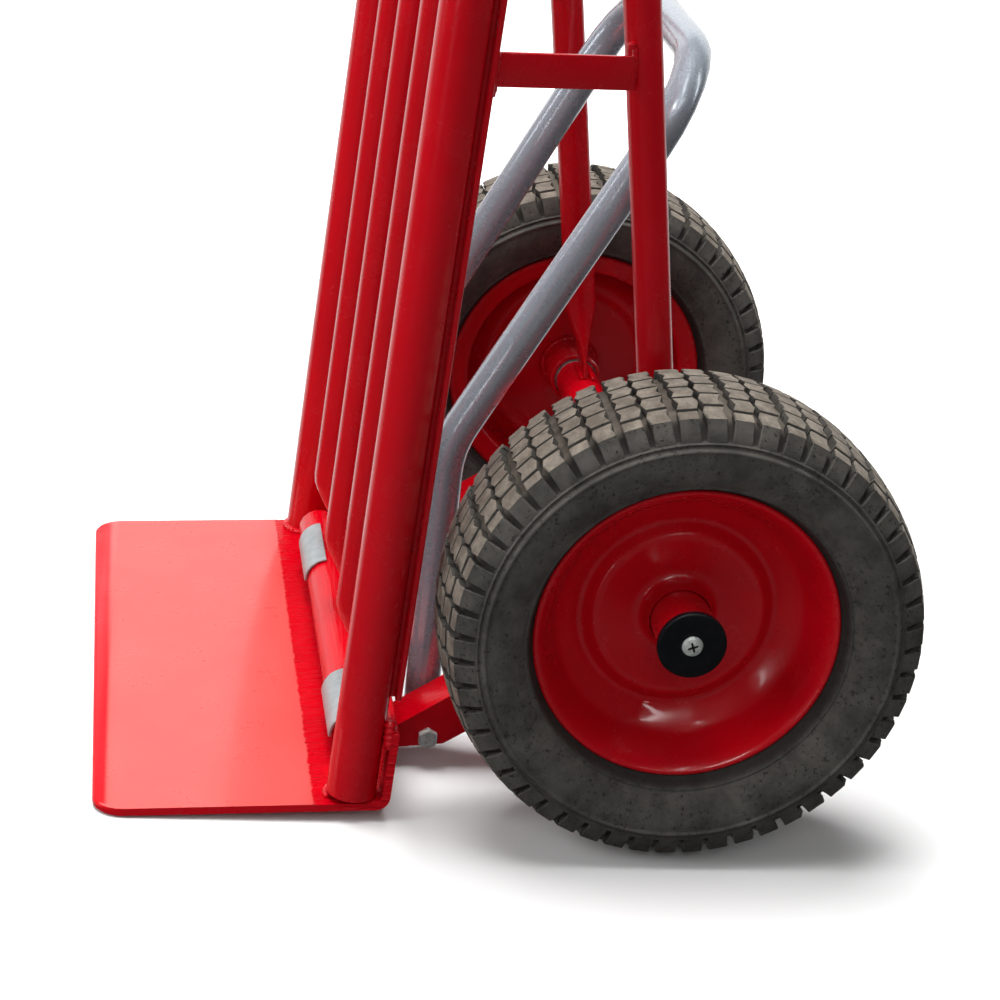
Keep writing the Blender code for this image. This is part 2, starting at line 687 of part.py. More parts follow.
def build_pivot_hardware():
    """A bolt, washer and nut at each foot of the loop. The loop's hole turns on the bolt."""
    outside = BRACKET_X + BRACKET_WIDTH / 2 + GAP
    bore = BOLT_RADIUS + GAP
    washer_end = LOOP_X - LOOP_RADIUS - 0.0008
    washer_start = washer_end - 0.0014
    nut_end = washer_start - GAP
    nut_start = nut_end - 0.0065
    for word, side in (("left", 1), ("right", -1)):
        shank = [round_ring(side * x, BOLT_RADIUS) for x in (nut_start - 0.003, outside)]
        head = [hex_ring(side * outside, HEX_HALF), hex_ring(side * (outside + 0.0047), HEX_HALF)]
        head.append(hex_ring(side * (outside + 0.0053), HEX_HALF - 0.0011))
        name = "pivot_bolt_" + word
        add_object(name, loft(name, shank + head), "zinc", ZINC)
        nut = [hex_ring(side * x, HEX_HALF) for x in (nut_start, nut_end)]
        nut += [round_ring(side * x, bore) for x in (nut_end, nut_start)]
        name = "pivot_nut_" + word
        add_object(name, loft(name, nut, closed=True), "zinc", ZINC)
        washer = [round_ring(side * x, 0.0080) for x in (washer_start, washer_end)]
        washer += [round_ring(side * x, bore) for x in (washer_end, washer_start)]
        name = "pivot_washer_" + word
        add_object(name, loft(name, washer, closed=True), "zinc", ZINC)


def centre_on_origin():
    """Moves every object that has no parent. The others follow theirs."""
    for obj in bpy.data.objects:
        if obj.parent is None:
            obj.location.y += ORIGIN_SHIFT


clear_scene()
build_toe_plate()
build_frame_tubes()
build_hand_grips()
build_rear_strips()
build_inner_tubes()
build_cross_tubes()
build_mid_cross_strap()
build_saddle_straps()
build_struts()
build_braces()
build_axle_brackets()
build_axle()
build_wheel_ends()
build_wheel("left", 1)
build_wheel("right", -1)
build_support_loop()
build_pivot_hardware()
centre_on_origin()
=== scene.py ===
"""Looks for the convertible hand truck: tyres with a block tread, pressed rims, welds and paint.

Metres, in the same frame as the CAD: the toe plate points to -Y and the left wheel is at +X.
"""

import math
import random

import bmesh
import bpy
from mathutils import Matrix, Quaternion, Vector


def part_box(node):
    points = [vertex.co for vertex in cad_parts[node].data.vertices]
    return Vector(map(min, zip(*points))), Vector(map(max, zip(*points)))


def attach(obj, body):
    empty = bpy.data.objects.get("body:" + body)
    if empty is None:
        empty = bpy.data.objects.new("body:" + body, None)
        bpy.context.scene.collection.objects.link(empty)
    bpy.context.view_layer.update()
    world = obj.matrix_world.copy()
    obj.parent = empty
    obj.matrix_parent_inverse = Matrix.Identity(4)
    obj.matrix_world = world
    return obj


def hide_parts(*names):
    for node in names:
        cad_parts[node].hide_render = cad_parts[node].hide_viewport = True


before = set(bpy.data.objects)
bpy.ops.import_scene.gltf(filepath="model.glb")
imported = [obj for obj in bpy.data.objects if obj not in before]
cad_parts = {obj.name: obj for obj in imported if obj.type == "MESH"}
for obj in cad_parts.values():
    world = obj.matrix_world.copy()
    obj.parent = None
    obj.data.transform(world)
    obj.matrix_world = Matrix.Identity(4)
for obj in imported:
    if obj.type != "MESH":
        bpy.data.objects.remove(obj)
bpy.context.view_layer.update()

SIDES = {"left": 1, "right": -1}
ROOT = "chassis"
LOOP = "support_loop"

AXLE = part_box("axle_shaft")
AXLE_Y = (AXLE[0].y + AXLE[1].y) / 2
AXLE_Z = (AXLE[0].z + AXLE[1].z) / 2
TYRE_LOW, TYRE_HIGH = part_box("tyre_left")
WHEEL_X = (TYRE_LOW.x + TYRE_HIGH.x) / 2
TYRE_RADIUS = TYRE_HIGH.z - AXLE_Z
TYRE_HALF = (TYRE_HIGH.x - TYRE_LOW.x) / 2
RIM_LOW, RIM_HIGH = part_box("rim_left")
RIM_HALF = (RIM_HIGH.x - RIM_LOW.x) / 2
RIM_RADIUS = RIM_HIGH.z - AXLE_Z
HUB_LOW, HUB_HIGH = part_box("hub_tube_left")
HUB_HALF = (HUB_HIGH.x - HUB_LOW.x) / 2
HUB_RADIUS = HUB_HIGH.z - AXLE_Z
HEEL_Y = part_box("toe_plate")[1].y
X_AXIS = Vector((1, 0, 0))
Y_AXIS = Vector((0, 1, 0))
Z_AXIS = Vector((0, 0, 1))


# ---------------------------------------------------------------- shader helpers


class Nodes:
    """A material's node tree, with short calls for the nodes that the looks below are made of."""

    def __init__(self, name):
        self.material = bpy.data.materials.new(name)
        self.material.use_nodes = True
        self.tree = self.material.node_tree
        self.shader = self.tree.nodes["Principled BSDF"]
        coords = self.add("ShaderNodeTexCoord")
        self.place = coords.outputs["Object"]
        self.facing = coords.outputs["Normal"]

    def add(self, kind, **settings):
        node = self.tree.nodes.new(kind)
        for key, value in settings.items():
            setattr(node, key, value)
        return node

    def feed(self, socket, value):
        """Links a socket to another, or sets its value."""
        if isinstance(value, bpy.types.NodeSocket):
            self.tree.links.new(value, socket)
        else:
            socket.default_value = value

    def set(self, name, value):
        self.feed(self.shader.inputs[name], value)

    def stretched(self, x, y, z):
        """The object coordinates, scaled by axis, so that a pattern runs along one of them."""
        node = self.add("ShaderNodeVectorMath", operation="MULTIPLY")
        self.feed(node.inputs[0], self.place)
        node.inputs[1].default_value = (x, y, z)
        return node.outputs[0]

    def noise(self, scale, detail=3.0, roughness=0.55, where=None):
        node = self.add("ShaderNodeTexNoise")
        self.feed(node.inputs["Vector"], where or self.place)
        node.inputs["Scale"].default_value = scale
        node.inputs["Detail"].default_value = detail
        node.inputs["Roughness"].default_value = roughness
        return node.outputs["Fac"]

    def ramp(self, value, low, high, out_low=0.0, out_high=1.0):
        node = self.add("ShaderNodeMapRange", interpolation_type="SMOOTHSTEP")
        for socket, number in zip(node.inputs, (value, low, high, out_low, out_high)):
            self.feed(socket, number)
        return node.outputs[0]

    def math(self, operation, a, b=0.0):
        node = self.add("ShaderNodeMath", operation=operation)
        self.feed(node.inputs[0], a)
        self.feed(node.inputs[1], b)
        return node.outputs[0]

    def mix(self, share, a, b):
        node = self.add("ShaderNodeMix", data_type="RGBA")
        self.feed(node.inputs["Factor"], share)
        self.feed(node.inputs[6], a)
        self.feed(node.inputs[7], b)
        return node.outputs[2]

    def part(self, vector, axis):
        node = self.add("ShaderNodeSeparateXYZ")
        self.feed(node.inputs[0], vector)
        return node.outputs[axis]

    def axle_distance(self):
        """How far a point is from the wheels' axle."""
        y = self.math("SUBTRACT", self.part(self.place, 1), AXLE_Y)
        z = self.math("SUBTRACT", self.part(self.place, 2), AXLE_Z)
        square = self.math("ADD", self.math("MULTIPLY", y, y), self.math("MULTIPLY", z, z))
        return self.math("SQRT", square)

    def axle_facing(self, distance):
        """1 where the surface faces straight away from the axle, 0 where it faces sideways."""
        y = self.math("SUBTRACT", self.part(self.place, 1), AXLE_Y)
        z = self.math("SUBTRACT", self.part(self.place, 2), AXLE_Z)
        y = self.math("MULTIPLY", y, self.part(self.facing, 1))
        z = self.math("MULTIPLY", z, self.part(self.facing, 2))
        return self.math("DIVIDE", self.math("ADD", y, z), distance)

    def edge_wear(self, radius):
        """1 where the surface bends sharply within the radius, 0 on flat stretches."""
        bevel = self.add("ShaderNodeBevel", samples=4)
        bevel.inputs["Radius"].default_value = radius
        geometry = self.add("ShaderNodeNewGeometry")
        dot = self.add("ShaderNodeVectorMath", operation="DOT_PRODUCT")
        self.feed(dot.inputs[0], bevel.outputs[0])
        self.feed(dot.inputs[1], geometry.outputs["Normal"])
        return self.ramp(dot.outputs["Value"], 0.97, 0.86)

    def bumps(self, *layers):
        """Feeds the normal from (height, strength, distance) layers, coarse first."""
        normal = None
        for height, strength, distance in layers:
            node = self.add("ShaderNodeBump")
            node.inputs["Strength"].default_value = strength
            node.inputs["Distance"].default_value = distance
            self.feed(node.inputs["Height"], height)
            if normal:
                self.feed(node.inputs["Normal"], normal)
            normal = node.outputs[0]
        self.set("Normal", normal)


def rgb(red, green, blue):
    return (red, green, blue, 1.0)


# ---------------------------------------------------------------- materials

RED_BODY = rgb(0.56, 0.0003, 0.0075)
RED_DEEP = rgb(0.40, 0.0002, 0.004)
DUST = rgb(0.36, 0.20, 0.15)


def red_paint(name, streaks=(1, 1, 1), brushed=0.0, chips=0.0, gloss=1.0):
    """Gloss red over steel: orange peel, long shallow waves, thin dust and a few chips."""
    m = Nodes(name)
    cloud = m.noise(9, 4)
    body = m.mix(m.ramp(cloud, 0.3, 0.7), RED_DEEP, RED_BODY)
    body = m.mix(0.72, body, RED_BODY)
    dust = m.ramp(m.noise(55, 5, 0.7), 0.62, 0.82, 0.0, 0.006)
    colour = m.mix(dust, body, DUST)
    if chips:
        patchy = m.ramp(m.noise(120, 4, 0.7), 0.52, 0.60, 0.0, chips)
        bare = m.math("MULTIPLY", m.edge_wear(0.0022), patchy)
        colour = m.mix(bare, colour, rgb(0.10, 0.055, 0.045))
    m.set("Base Color", colour)
    m.set("Roughness", m.ramp(m.noise(30, 4, 0.65), 0.3, 0.75, 0.22, 0.30))
    m.set("Specular IOR Level", 0.28 * gloss)
    m.set("Coat Weight", 0.40 * gloss)
    m.set("Coat Roughness", m.ramp(m.noise(18, 3), 0.3, 0.7, 0.05, 0.14))
    wave = m.noise(26, 2, 0.5, m.stretched(*streaks))
    peel = m.noise(620, 2, 0.5)
    layers = [(wave, 0.03 + brushed * 0.4, 0.004), (peel, 0.09, 0.0006)]
    if brushed:
        line = m.noise(170, 3, 0.6, m.stretched(*streaks))
        layers.insert(1, (line, 0.55 * brushed, 0.0022))
    m.bumps(*layers)
    return m.material


def plate_paint():
    """The toe plate's red: a flat sheet, scuffed by loads, with rippled paint near the heel. Its upward
    face, except a strip at the heel, carries a painted glare: a pale pinkish red, with more coat and
    specular.
    """
    m = Nodes("red_plate_paint")
    strip = 0.0554
    ragged = m.math("MULTIPLY", m.math("SUBTRACT", m.noise(150, 4, 0.7), 0.5), 0.006)
    y = m.math("ADD", m.part(m.place, 1), ragged)
    heel = m.ramp(y, HEEL_Y - strip - 0.0008, HEEL_Y - strip + 0.0008)
    # Painted glare: the upward face, except a ragged strip at the heel, is coloured a pale pinkish red
    # (body below) that stands in for a broad reflection.
    top = m.ramp(m.part(m.facing, 2), 0.95, 0.985)
    painted_glare = m.math("MULTIPLY", top, m.math("SUBTRACT", 1.0, heel))
    cloud = m.noise(7, 4)
    body = m.mix(m.ramp(cloud, 0.3, 0.7), rgb(0.66, 0.086, 0.078), rgb(0.71, 0.097, 0.088))
    colour = m.mix(painted_glare, RED_BODY, body)
    # Pale scuffs, which show only within the painted glare.
    scuff = m.ramp(m.noise(60, 6, 0.75, m.stretched(0.25, 1, 1)), 0.58, 0.78, 0.0, 0.05)
    colour = m.mix(m.math("MULTIPLY", scuff, painted_glare), colour, rgb(0.50, 0.16, 0.13))
    patchy = m.ramp(m.noise(90, 4, 0.7), 0.54, 0.62, 0.0, 0.55)
    bare = m.math("MULTIPLY", m.edge_wear(0.0020), patchy)
    colour = m.mix(bare, colour, rgb(0.13, 0.05, 0.04))
    m.set("Base Color", colour)
    m.set("Roughness", m.ramp(m.noise(25, 5, 0.7), 0.3, 0.7, 0.26, 0.36))
    m.set("Coat Weight", m.math("ADD", 0.08, m.math("MULTIPLY", painted_glare, 0.16)))
    m.set("Specular IOR Level", m.math("ADD", 0.12, m.math("MULTIPLY", painted_glare, 0.13)))
    m.set("Coat IOR", 1.55)
    m.set("Coat Roughness", m.ramp(m.noise(40, 5, 0.7), 0.3, 0.75, 0.10, 0.20))
    comb = m.noise(330, 2, 0.5, m.stretched(1, 0.12, 1))
    comb = m.math("MULTIPLY", m.math("SUBTRACT", comb, 0.5), heel)
    roll = m.noise(7, 2, 0.5, m.stretched(1, 0.6, 1))
    m.bumps((roll, 0.10, 0.006), (comb, 0.9, 0.0036), (m.noise(520, 2), 0.06, 0.0005))
    return m.material


def silver_paint():
    """Silver-grey paint with a fine sparkle, rubbed darker in places."""
    m = Nodes("silver_grey_paint")
    cloud = m.noise(16, 4)
    colour = m.mix(m.ramp(cloud, 0.3, 0.7), rgb(0.36, 0.405, 0.465), rgb(0.39, 0.44, 0.50))
    grain = m.noise(900, 2, 0.6)
    colour = m.mix(m.ramp(grain, 0.35, 0.7, 0.0, 0.15), colour, rgb(0.60, 0.65, 0.72))
    scuff = m.ramp(m.noise(48, 6, 0.75), 0.66, 0.80, 0.0, 0.05)
    colour = m.mix(scuff, colour, rgb(0.17, 0.18, 0.20))
    m.set("Base Color", colour)
    m.set("Metallic", 0.45)
    m.set("Roughness", m.ramp(m.noise(70, 4, 0.7), 0.3, 0.7, 0.24, 0.30))
    m.set("Coat Weight", 0.8)
    m.set("Coat Roughness", 0.13)
    m.bumps((m.noise(22, 2), 0.05, 0.003), (m.noise(700, 2), 0.05, 0.0006))
    return m.material


def galvanised_sheet():
    """Dull zinc-coated sheet with soft blotches and rust along its cut edges."""
    m = Nodes("galvanised_sheet")
    flake = m.noise(130, 5, 0.7)
    colour = m.mix(m.ramp(flake, 0.3, 0.7), rgb(0.30, 0.335, 0.345), rgb(0.39, 0.425, 0.435))
    patchy = m.ramp(m.noise(160, 5, 0.75), 0.46, 0.58, 0.0, 0.8)
    rust = m.math("MULTIPLY", m.edge_wear(0.0016), patchy)
    colour = m.mix(rust, colour, rgb(0.16, 0.06, 0.025))
    m.set("Base Color", colour)
    m.set("Metallic", 0.30)
    m.set("Roughness", m.ramp(m.noise(90, 4), 0.3, 0.7, 0.36, 0.50))
    m.bumps((m.noise(240, 4, 0.6), 0.20, 0.0008))
    return m.material


def plated_steel(name, light, rust_share):
    """Zinc-plated fasteners: turned marks, a dull bloom and rust in the low places."""
    m = Nodes(name)
    bloom = m.noise(260, 4, 0.7)
    shade = tuple(0.62 * v for v in light[:3]) + (1.0,)
    colour = m.mix(m.ramp(bloom, 0.3, 0.7), shade, light)
    rust = m.ramp(m.noise(420, 5, 0.75), 0.58, 0.68, 0.0, rust_share)
    colour = m.mix(rust, colour, rgb(0.20, 0.07, 0.02))
    m.set("Base Color", colour)
    m.set("Metallic", 0.45)
    m.set("Roughness", m.ramp(m.noise(330, 3), 0.3, 0.7, 0.28, 0.50))
    m.bumps((m.noise(900, 3, 0.6), 0.18, 0.0004))
    return m.material


def tyre_rubber(name, groove_shade=0.0):
    """Moulded foam tyre: dark sidewall with painted shade in its pits, brown dust on the tread, darker
    towards the rim, and, where groove_shade is given, painted shade in the gaps between the blocks.
    """
    m = Nodes(name)
    radius = m.axle_distance()
    tread = m.ramp(radius, TYRE_RADIUS - 0.0130, TYRE_RADIUS - 0.0095)
    tread = m.math("MULTIPLY", tread, m.ramp(m.axle_facing(radius), 0.55, 0.85))
    mottle = m.noise(42, 6, 0.7)
    side = m.mix(m.ramp(mottle, 0.3, 0.72), rgb(0.042, 0.039, 0.035), rgb(0.088, 0.082, 0.073))
    pale = m.ramp(m.noise(15, 4, 0.6), 0.48, 0.74, 0.0, 0.55)
    side = m.mix(pale, side, rgb(0.118, 0.110, 0.097))
    dust = m.ramp(m.noise(70, 6, 0.75), 0.35, 0.7)
    dusty = m.mix(dust, rgb(0.120, 0.102, 0.083), rgb(0.255, 0.222, 0.182))
    colour = m.mix(tread, side, dusty)
    # Painted shade: the carcass near the tread's radius, seen only in the gaps between blocks and in the
    # shoulder slits, is darkened to near black, less where it faces outward.
    if groove_shade:
        slit = m.ramp(radius, TYRE_RADIUS - 0.0215, TYRE_RADIUS - 0.0195, 0.0, groove_shade)
        slit = m.math("MULTIPLY", slit, m.math("SUBTRACT", 1.0, m.math("MULTIPLY", tread, 0.45)))
        colour = m.mix(slit, colour, rgb(0.016, 0.014, 0.012))
    # Darker towards the rim: a near-black ring where the tyre meets the rim.
    bead_darkening = m.ramp(radius, RIM_RADIUS + 0.0065, RIM_RADIUS + 0.0015, 0.0, 0.8)
    colour = m.mix(bead_darkening, colour, rgb(0.012, 0.011, 0.010))
    # Pits: sunk by the bump below, and darkened to near black as painted shade inside them.
    pit = m.ramp(m.noise(310, 5, 0.75), 0.56, 0.62)
    patch = m.ramp(m.noise(22, 4, 0.65), 0.40, 0.52)
    pits_and_shade = m.math("MULTIPLY", m.math("MULTIPLY", pit, patch), m.math("SUBTRACT", 1.0, tread))
    colour = m.mix(m.math("MULTIPLY", pits_and_shade, 0.9), colour, rgb(0.014, 0.014, 0.013))
    m.set("Base Color", colour)
    m.set("Roughness", m.ramp(m.noise(80, 4, 0.7), 0.3, 0.7, 0.62, 0.86))
    m.set("Specular IOR Level", 0.38)
    coarse = m.noise(330, 5, 0.7)
    fine = m.noise(1300, 3)
    m.bumps((pits_and_shade, -0.85, 0.0013), (coarse, 0.32, 0.0010), (fine, 0.15, 0.0003))
    return m.material


def black_plastic():
    """Moulded black cap: satin, with fine scratches and a little grey dust."""
    m = Nodes("black_plastic")
    dust = m.ramp(m.noise(120, 6, 0.75), 0.52, 0.78, 0.0, 0.35)
    m.set("Base Color", m.mix(dust, rgb(0.004, 0.0045, 0.0065), rgb(0.030, 0.030, 0.034)))
    m.set("Roughness", m.ramp(m.noise(200, 5, 0.7), 0.3, 0.7, 0.34, 0.52))
    m.bumps((m.noise(650, 4, 0.6), 0.15, 0.0005))
    return m.material


def grip_rubber():
    """Matt black rubber with a fine grain, polished paler where hands rub it."""
    m = Nodes("grip_rubber")
    worn = m.ramp(m.noise(32, 5, 0.65), 0.45, 0.72, 0.0, 0.6)
    m.set("Base Color", m.mix(worn, rgb(0.010, 0.010, 0.011), rgb(0.034, 0.033, 0.032)))
    m.set("Roughness", m.ramp(m.noise(60, 4), 0.3, 0.7, 0.55, 0.78))
    m.bumps((m.noise(1100, 3, 0.6), 0.30, 0.0005))
    return m.material


def floor_material():
    """Pale and matt, fading to white away from the object. It throws little light back up."""
    m = Nodes("pale_floor")
    seen = m.add("ShaderNodeLightPath").outputs["Is Camera Ray"]
    pale = m.mix(m.ramp(m.noise(0.8, 3), 0.3, 0.7), rgb(0.86, 0.86, 0.86), rgb(0.90, 0.90, 0.90))
    m.set("Base Color", m.mix(seen, rgb(0.30, 0.30, 0.30), pale))
    m.set("Roughness", 0.85)
    m.set("Specular IOR Level", 0.1)
    length = m.add("ShaderNodeVectorMath", operation="LENGTH")
    m.feed(length.inputs[0], m.place)
    far = m.ramp(length.outputs["Value"], 0.6, 1.7)
    m.set("Emission Color", rgb(1.0, 1.0, 1.0))
    m.set("Emission Strength", m.math("MULTIPLY", far, seen))
    return m.material


# ---------------------------------------------------------------- mesh helpers


def mesh_object(name, mesh, material, smooth_angle=35):
    """An object of one material, smooth but for edges sharper than the angle."""
    mesh.materials.clear()
    mesh.materials.append(material)
    mesh.shade_smooth()
    mesh.set_sharp_from_angle(angle=math.radians(smooth_angle))
    obj = bpy.data.objects.new(name, mesh)
    bpy.context.scene.collection.objects.link(obj)
    return obj


def grid_mesh(name, rows, wrap_rows=False, wrap_points=True, caps=False):
    """A mesh through rows of equally many points."""
    shape = bmesh.new()
    made = [[shape.verts.new(point) for point in row] for row in rows]
    count = len(rows[0])
    pairs = list(zip(made, made[1:]))
    if wrap_rows:
        pairs.append((made[-1], made[0]))
    last = count if wrap_points else count - 1
    for low, high in pairs:
        for i in range(last):
            k = (i + 1) % count
            shape.faces.new((low[i], low[k], high[k], high[i]))
    if caps:
        shape.faces.new(made[0][::-1])
        shape.faces.new(made[-1])
    bmesh.ops.recalc_face_normals(shape, faces=shape.faces)
    mesh = bpy.data.meshes.new(name)
    shape.to_mesh(mesh)
    shape.free()
    return mesh


def softened(outline, rounds=2):
    """Cuts a closed outline's corners again and again, which rounds them (Chaikin's rule)."""
    points = [Vector(point) for point in outline]
    for _ in range(rounds):
        cut = []
        for i, point in enumerate(points):
            after = points[(i + 1) % len(points)]
            cut.append(point.lerp(after, 0.25))
            cut.append(point.lerp(after, 0.75))
        points = cut
    return points


def lathe_mesh(name, outline, centre_x, side, steps=120):
    """Turns a closed (x, radius) outline about the axle line."""
    rows = []
    for step in range(steps):
        turn = 2 * math.pi * step / steps
        rows.append([
            Vector((centre_x + side * x, AXLE_Y + r * math.cos(turn), AXLE_Z + r * math.sin(turn)))
            for x, r in outline
        ])
    return grid_mesh(name, rows, wrap_rows=True)


def settle(piece, body, node=None):
    """Fixes a piece to a body. Where a CAD node is given, the piece stands for it."""
    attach(piece, body)
    if node:
        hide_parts(node)


def refined(node, material, body, bevel=0.0):
    """A joined-up, smooth-shaded copy of a CAD node that stands for it, with its edges rounded."""
    shape = bmesh.new()
    shape.from_mesh(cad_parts[node].data)
    bmesh.ops.remove_doubles(shape, verts=shape.verts, dist=0.00002)
    flat = math.radians(0.6)
    bmesh.ops.dissolve_limit(shape, angle_limit=flat, verts=shape.verts, edges=shape.edges)
    bmesh.ops.recalc_face_normals(shape, faces=shape.faces)
    mesh = bpy.data.meshes.new(node + "_skin")
    shape.to_mesh(mesh)
    shape.free()
    piece = mesh_object(node + "_skin", mesh, material)
    if bevel:
        rounding = piece.modifiers.new("edges", "BEVEL")
        rounding.width = bevel
        rounding.segments = 3
        rounding.limit_method = "ANGLE"
        rounding.angle_limit = math.radians(40)
        rounding.harden_normals = True
    settle(piece, body, node)


# ---------------------------------------------------------------- wheels


def crown(x):
    """The tread's outer radius at a distance x from the tyre's middle."""
    share = min(abs(x) / 0.047, 1.0)
    return TYRE_RADIUS - 0.0010 - 0.0058 * share**2.4


def carcass_outline():
    """The tyre's body under the tread blocks, with ring lines on its sidewalls."""
    depth = 0.0060
    half = TYRE_HALF
    seat = RIM_HALF
    floor = [(x, crown(x) - depth) for x in (0.0, 0.012, 0.024, 0.036, 0.0440)]
    shoulder = [(0.0486, 0.1492), (half - 0.0064, 0.1452), (half - 0.0042, 0.1442)]
    ring_line = [
        (half - 0.0027, 0.1436), (half - 0.0028, 0.1428), (half - 0.0038, 0.1420),
        (half - 0.0030, 0.1408), (half - 0.0010, 0.1400), (half - 0.0001, 0.1392),
        (half - 0.0001, 0.1380),
    ]
    sidewall = [
        (half - 0.0014, 0.1370), (half - 0.0010, 0.1335), (half - 0.0016, 0.1285),
        (half - 0.0034, 0.1225), (half - 0.0062, 0.1170), (half - 0.0092, 0.1128),
    ]
    bead = [
        (half - 0.0112, 0.1108), (half - 0.0106, 0.1096), (half - 0.0128, 0.1080),
        (seat + 0.0012, RIM_RADIUS + 0.0012), (seat - 0.0020, RIM_RADIUS - 0.0008),
        (seat - 0.0066, RIM_RADIUS - 0.0030), (seat - 0.0072, RIM_RADIUS - 0.0040),
    ]
    right = floor + shoulder + ring_line + sidewall + bead
    left = [(-x, r) for x, r in right[::-1]]
    return right + left[:-1]


BLOCK_COLUMNS = 54
BLOCK_STEP = 0.0171
BLOCK_BEND = 0.0025
TREAD_EDGE = 0.0462
LONG_SHOULDER = 0.0325
SHORT_SHOULDER = 0.0382


def add_block(shape, outline, turn, offset):
    """A tread block with rounded top edges. Its outline is (x, distance along the tread)."""
    middle = sum((Vector(p) for p in outline), Vector((0, 0))) / len(outline)
    rings = []
    # How far each ring lies below the tread's surface and inside the outline, from the block's root up.
    for sink, inset in ((0.0072, 0.0), (0.0007, 0.0), (0.0002, 0.0003), (0.0, 0.0009)):
        ring = []
        for point in outline:
            moved = Vector(point) - (Vector(point) - middle).normalized() * inset
            x = moved.x + offset
            radius = crown(x) - sink
            angle = turn + moved.y / TYRE_RADIUS
            ring.append(shape.verts.new((x, radius * math.cos(angle), radius * math.sin(angle))))
        rings.append(ring)
    count = len(outline)
    for low, high in zip(rings, rings[1:]):
        for i in range(count):
            k = (i + 1) % count
            shape.faces.new((low[i], low[k], high[k], high[i]))
    shape.faces.new(rings[0][::-1])
    shape.faces.new(rings[-1])


def add_shoulder(shape, side, turn, start, bend):
    """A shoulder block: from the tread's edge down the sidewall, where a thin slit parts the blocks."""
    middle = (start + TREAD_EDGE) / 2
    # x, radius, outward direction, half width, depth and sideways bend of each cross-section.
    sections = [
        (start, crown(start), (0.0, 1.0), 0.0071, 0.0068, 0.0),
        (middle, crown(middle), (0.05, 1.0), 0.0071, 0.0068, bend),
        (TREAD_EDGE, crown(TREAD_EDGE), (0.1, 1.0), 0.0071, 0.0068, 0.0),
        (0.0474, 0.1580, (0.5, 0.86), 0.0071, 0.0066, 0.0),
        (0.0482, 0.1566, (0.85, 0.53), 0.0070, 0.0060, 0.0),
        (0.0512, 0.1520, (0.88, 0.48), 0.0071, 0.0050, 0.0),
        (0.0540, 0.1474, (0.90, 0.43), 0.0075, 0.0036, 0.0),
        (0.0553, 0.1446, (0.92, 0.39), 0.0078, 0.0024, 0.0),
    ]
    rows = []
    for x, radius, (nx, nr), edge, depth, shift in sections:
        low = 0.0007 if x in (start, sections[-1][0]) else 0.0
        profile = [
            (-edge, depth), (-edge, 0.0007 + low), (-edge + 0.0008, low),
            (edge - 0.0008, low), (edge, 0.0007 + low), (edge, depth),
        ]
        row = []
        for along, sink in profile:
            r = radius - nr * sink
            angle = turn + (along + shift) / TYRE_RADIUS
            place = (side * (x - nx * sink), r * math.cos(angle), r * math.sin(angle))
            row.append(shape.verts.new(place))
        rows.append(row)
    for low_row, high_row in zip(rows, rows[1:]):
        for i in range(len(profile)):
            k = (i + 1) % len(profile)
            shape.faces.new((low_row[i], low_row[k], high_row[k], high_row[i]))
    shape.faces.new(rows[0][::-1])
    shape.faces.new(rows[-1])


def tread_mesh():
    """The turf tread: columns of bent blocks across it, with a long and a short shoulder block.

    The next column is its mirror image, so the blocks of one interlock with the gaps of the other.
    """
    shape = bmesh.new()
    pitch = 2 * math.pi / BLOCK_COLUMNS
    half = 0.0069
    wide = 0.0075
    first_block = 0.0228
    rng = random.Random(7)
    for i in range(BLOCK_COLUMNS):
        turn = pitch * (i + 0.5)
        flip = 1 if i % 2 else -1
        bend = flip * BLOCK_BEND
        outline = [(-wide, -half), (0, -half + bend), (wide, -half)]
        outline += [(wide, half), (0, half + bend), (-wide, half)]
        for k in range(4):
            x = flip * (first_block - BLOCK_STEP * k)
            add_block(shape, outline, turn + pitch * rng.uniform(-0.012, 0.012), x)
        for side in (1, -1):
            if side == flip:
                add_shoulder(shape, side, turn, LONG_SHOULDER, bend * 0.7)
            else:
                add_shoulder(shape, side, turn, SHORT_SHOULDER, 0.0)
    bmesh.ops.recalc_face_normals(shape, faces=shape.faces)
    mesh = bpy.data.meshes.new("tread")
    shape.to_mesh(mesh)
    shape.free()
    return mesh


